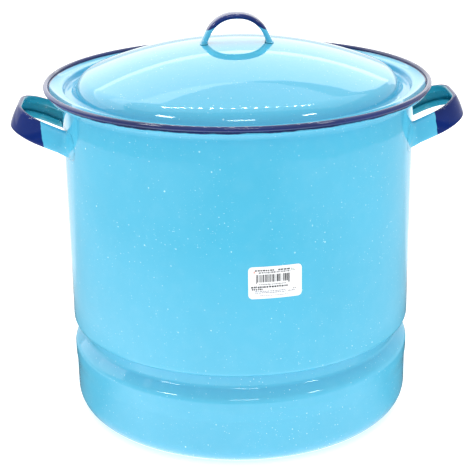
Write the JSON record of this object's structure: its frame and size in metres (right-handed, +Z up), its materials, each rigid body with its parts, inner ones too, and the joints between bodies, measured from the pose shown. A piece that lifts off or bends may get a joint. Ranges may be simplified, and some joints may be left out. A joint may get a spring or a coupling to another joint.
{
  "type": "water bath canner",
  "caption": "Tall round enamelled canning pot with a ledge pressed into its wall, loop side handles, a domed lift-off lid, a perforated plate and a wire jar rack inside.",
  "frame": {"origin": "middle of the base, on the surface that the pot stands on", "axes": "+Z up, the two side handles on the X axis, the label's side towards -Y"},
  "size_m": [0.4594, 0.39, 0.4142],
  "materials": {
    "enamel": "glossy vitreous enamel, fine pale specks, dark blue trim on rims and grips",
    "label_paper": "satin",
    "plate_steel": "satin",
    "rack_wire": "bright plated"
  },
  "bodies": {
    "pot": {"pot_shell": "enamel", "left_side_handle": "enamel", "right_side_handle": "enamel", "paper_label": "label_paper"},
    "lid": {"lid_shell": "enamel", "lid_handle": "enamel"},
    "plate": {"perforated_plate": "plate_steel", "plate_rim_wire": "plate_steel"},
    "rack": {"rack_lower_guard_ring": "rack_wire", "rack_upper_guard_ring": "rack_wire", "rack_hub_ring": "rack_wire", "rack_outer_floor_ring": "rack_wire", "rack_middle_floor_ring": "rack_wire", "rack_inner_floor_ring": "rack_wire", "rack_divider_wire_1": "rack_wire", "rack_divider_wire_2": "rack_wire", "rack_divider_wire_3": "rack_wire", "rack_divider_wire_4": "rack_wire", "rack_divider_wire_5": "rack_wire", "rack_divider_wire_6": "rack_wire"},
    "back_handle": {"back_lift_handle": "rack_wire"},
    "front_handle": {"front_lift_handle": "rack_wire"}
  },
  "joints": [
    {"name": "lid_lift", "type": "slide", "parent": "pot", "child": "lid", "axis": [0, 0, 1], "range_m": [0, 0.4]},
    {"name": "plate_lift", "type": "slide", "parent": "pot", "child": "plate", "axis": [0, 0, 1], "range_m": [0, 0.02]},
    {"name": "rack_lift", "type": "slide", "parent": "plate", "child": "rack", "axis": [0, 0, 1], "range_m": [0, 0.04]},
    {"name": "back_handle_fold", "type": "hinge", "parent": "rack", "child": "back_handle", "pos_m": [0, 0.15473, 0.18075], "axis": [1, 0, 0], "range_deg": [0, 94]},
    {"name": "front_handle_fold", "type": "hinge", "parent": "rack", "child": "front_handle", "pos_m": [0, -0.15473, 0.18075], "axis": [-1, 0, 0], "range_deg": [0, 94]}
  ]
}
